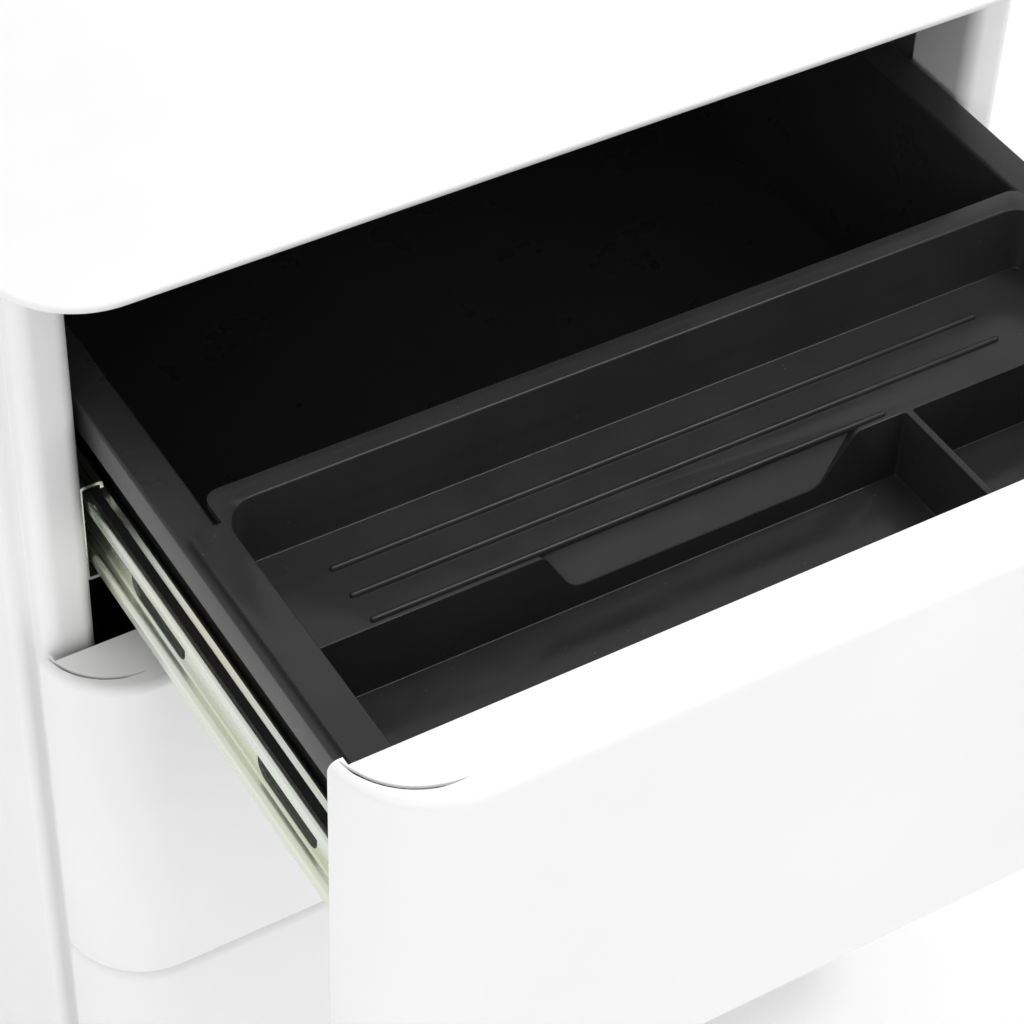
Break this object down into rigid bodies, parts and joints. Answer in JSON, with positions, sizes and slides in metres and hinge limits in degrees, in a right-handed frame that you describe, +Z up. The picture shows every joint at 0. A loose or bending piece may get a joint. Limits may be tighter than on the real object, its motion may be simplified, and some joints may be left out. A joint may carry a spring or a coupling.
{
  "type": "under-desk drawer unit",
  "caption": "White steel under-desk drawer unit with rounded flush fronts, telescopic slides, a black pen tray in the open top drawer, and castors.",
  "frame": {"origin": "on the floor, under the centre of the bounding box with the top drawer pulled out as at rest", "axes": "+X to the right seen from the front, +Y from the fronts to the back, +Z up"},
  "size_m": [0.39, 0.7032, 0.55],
  "materials": {
    "white_paint": "smooth satin powder coat",
    "black_paint": "fine satin powder coat",
    "zinc": "bright zinc plate with a faint yellow-green tint",
    "black_plastic": "satin moulded plastic",
    "bright_metal": "nickel plate",
    "castor_plastic": "smooth moulded nylon",
    "ball_steel": "polished steel balls in plain cages"
  },
  "bodies": {
    "carcass": {"side_panel_left": "white_paint", "side_panel_right": "white_paint", "top_panel": "white_paint", "back_panel": "white_paint", "base_panel": "white_paint", "top_rail": "white_paint", "slide_brackets_left": "zinc", "slide_brackets_right": "zinc", "castor_plates": "zinc", "castor_screws": "zinc", "drawer_1_slide_outer_left": "zinc", "drawer_1_slide_outer_right": "zinc", "drawer_2_slide_outer_left": "zinc", "drawer_2_slide_outer_right": "zinc", "drawer_3_slide_outer_left": "zinc", "drawer_3_slide_outer_right": "zinc"},
    "drawer_1_middle": {"drawer_1_slide_middle_left": "zinc", "drawer_1_slide_middle_right": "zinc"},
    "drawer_1_cage_outer": {"drawer_1_balls_outer": "ball_steel"},
    "drawer_1_cage_inner": {"drawer_1_balls_inner": "ball_steel"},
    "drawer_1": {"drawer_1_front": "white_paint", "drawer_1_front_inner": "black_paint", "drawer_1_side_left": "black_paint", "drawer_1_side_right": "black_paint", "drawer_1_tub": "black_paint", "drawer_1_slide_inner_left": "zinc", "drawer_1_slide_inner_right": "zinc", "lock_barrel": "bright_metal"},
    "drawer_2_middle": {"drawer_2_slide_middle_left": "zinc", "drawer_2_slide_middle_right": "zinc"},
    "drawer_2_cage_outer": {"drawer_2_balls_outer": "ball_steel"},
    "drawer_2_cage_inner": {"drawer_2_balls_inner": "ball_steel"},
    "drawer_2": {"drawer_2_front": "white_paint", "drawer_2_front_inner": "black_paint", "drawer_2_side_left": "black_paint", "drawer_2_side_right": "black_paint", "drawer_2_tub": "black_paint", "drawer_2_slide_inner_left": "zinc", "drawer_2_slide_inner_right": "zinc"},
    "drawer_3_middle": {"drawer_3_slide_middle_left": "zinc", "drawer_3_slide_middle_right": "zinc"},
    "drawer_3_cage_outer": {"drawer_3_balls_outer": "ball_steel"},
    "drawer_3_cage_inner": {"drawer_3_balls_inner": "ball_steel"},
    "drawer_3": {"drawer_3_front": "white_paint", "drawer_3_front_inner": "black_paint", "drawer_3_side_left": "black_paint", "drawer_3_side_right": "black_paint", "drawer_3_tub": "black_paint", "drawer_3_slide_inner_left": "zinc", "drawer_3_slide_inner_right": "zinc"},
    "tray": {"pen_tray": "black_plastic"},
    "lock": {"lock_plug": "bright_metal"},
    "fork_front_left": {"castor_fork_front_left": "castor_plastic"},
    "wheel_front_left": {"castor_wheel_front_left": "castor_plastic"},
    "fork_rear_left": {"castor_fork_rear_left": "castor_plastic"},
    "wheel_rear_left": {"castor_wheel_rear_left": "castor_plastic"},
    "fork_front_right": {"castor_fork_front_right": "castor_plastic"},
    "wheel_front_right": {"castor_wheel_front_right": "castor_plastic"},
    "fork_rear_right": {"castor_fork_rear_right": "castor_plastic"},
    "wheel_rear_right": {"castor_wheel_rear_right": "castor_plastic"}
  },
  "joints": [
    {"name": "drawer_1_stage_1", "type": "slide", "parent": "carcass", "child": "drawer_1_middle", "axis": [0, -1, 0], "range_m": [-0.2017, 0]},
    {"name": "drawer_1_stage_2", "type": "slide", "parent": "drawer_1_middle", "child": "drawer_1", "axis": [0, -1, 0], "range_m": [0, 0.2]},
    {"name": "drawer_1_cage_1", "type": "slide", "parent": "carcass", "child": "drawer_1_cage_outer", "axis": [0, -1, 0], "range_m": [-0.10085, 0]},
    {"name": "drawer_1_cage_2", "type": "slide", "parent": "drawer_1_middle", "child": "drawer_1_cage_inner", "axis": [0, -1, 0], "range_m": [0, 0.1]},
    {"name": "drawer_2_stage_1", "type": "slide", "parent": "carcass", "child": "drawer_2_middle", "axis": [0, -1, 0], "range_m": [0, 0.2017]},
    {"name": "drawer_2_stage_2", "type": "slide", "parent": "drawer_2_middle", "child": "drawer_2", "axis": [0, -1, 0], "range_m": [0, 0.2]},
    {"name": "drawer_2_cage_1", "type": "slide", "parent": "carcass", "child": "drawer_2_cage_outer", "axis": [0, -1, 0], "range_m": [0, 0.10085]},
    {"name": "drawer_2_cage_2", "type": "slide", "parent": "drawer_2_middle", "child": "drawer_2_cage_inner", "axis": [0, -1, 0], "range_m": [0, 0.1]},
    {"name": "drawer_3_stage_1", "type": "slide", "parent": "carcass", "child": "drawer_3_middle", "axis": [0, -1, 0], "range_m": [0, 0.2017]},
    {"name": "drawer_3_stage_2", "type": "slide", "parent": "drawer_3_middle", "child": "drawer_3", "axis": [0, -1, 0], "range_m": [0, 0.2]},
    {"name": "drawer_3_cage_1", "type": "slide", "parent": "carcass", "child": "drawer_3_cage_outer", "axis": [0, -1, 0], "range_m": [0, 0.10085]},
    {"name": "drawer_3_cage_2", "type": "slide", "parent": "drawer_3_middle", "child": "drawer_3_cage_inner", "axis": [0, -1, 0], "range_m": [0, 0.1]},
    {"name": "pen_tray_lift", "type": "slide", "parent": "drawer_1", "child": "tray", "axis": [0, 0, 1], "range_m": [0, 0.045]},
    {"name": "lock_turn", "type": "hinge", "parent": "drawer_1", "child": "lock", "pos_m": [0.145, -0.3501, 0.513], "axis": [0, 1, 0], "range_deg": [0, 90]},
    {"name": "castor_swivel_front_left", "type": "hinge", "parent": "carcass", "child": "fork_front_left", "pos_m": [-0.15, -0.0659, 0.05], "axis": [0, 0, 1], "continuous": true},
    {"name": "castor_spin_front_left", "type": "hinge", "parent": "fork_front_left", "child": "wheel_front_left", "pos_m": [-0.15, -0.0519, 0.02], "axis": [1, 0, 0], "continuous": true},
    {"name": "castor_swivel_rear_left", "type": "hinge", "parent": "carcass", "child": "fork_rear_left", "pos_m": [-0.15, 0.2766, 0.05], "axis": [0, 0, 1], "continuous": true},
    {"name": "castor_spin_rear_left", "type": "hinge", "parent": "fork_rear_left", "child": "wheel_rear_left", "pos_m": [-0.15, 0.2906, 0.02], "axis": [1, 0, 0], "continuous": true},
    {"name": "castor_swivel_front_right", "type": "hinge", "parent": "carcass", "child": "fork_front_right", "pos_m": [0.15, -0.0659, 0.05], "axis": [0, 0, 1], "continuous": true},
    {"name": "castor_spin_front_right", "type": "hinge", "parent": "fork_front_right", "child": "wheel_front_right", "pos_m": [0.15, -0.0519, 0.02], "axis": [1, 0, 0], "continuous": true},
    {"name": "castor_swivel_rear_right", "type": "hinge", "parent": "carcass", "child": "fork_rear_right", "pos_m": [0.15, 0.2766, 0.05], "axis": [0, 0, 1], "continuous": true},
    {"name": "castor_spin_rear_right", "type": "hinge", "parent": "fork_rear_right", "child": "wheel_rear_right", "pos_m": [0.15, 0.2906, 0.02], "axis": [1, 0, 0], "continuous": true}
  ],
  "couplings": [
    {"joint": "drawer_1_cage_1", "follows": "drawer_1_stage_1", "ratio": 0.5},
    {"joint": "drawer_1_cage_2", "follows": "drawer_1_stage_2", "ratio": 0.5},
    {"joint": "drawer_2_cage_1", "follows": "drawer_2_stage_1", "ratio": 0.5},
    {"joint": "drawer_2_cage_2", "follows": "drawer_2_stage_2", "ratio": 0.5},
    {"joint": "drawer_3_cage_1", "follows": "drawer_3_stage_1", "ratio": 0.5},
    {"joint": "drawer_3_cage_2", "follows": "drawer_3_stage_2", "ratio": 0.5}
  ]
}
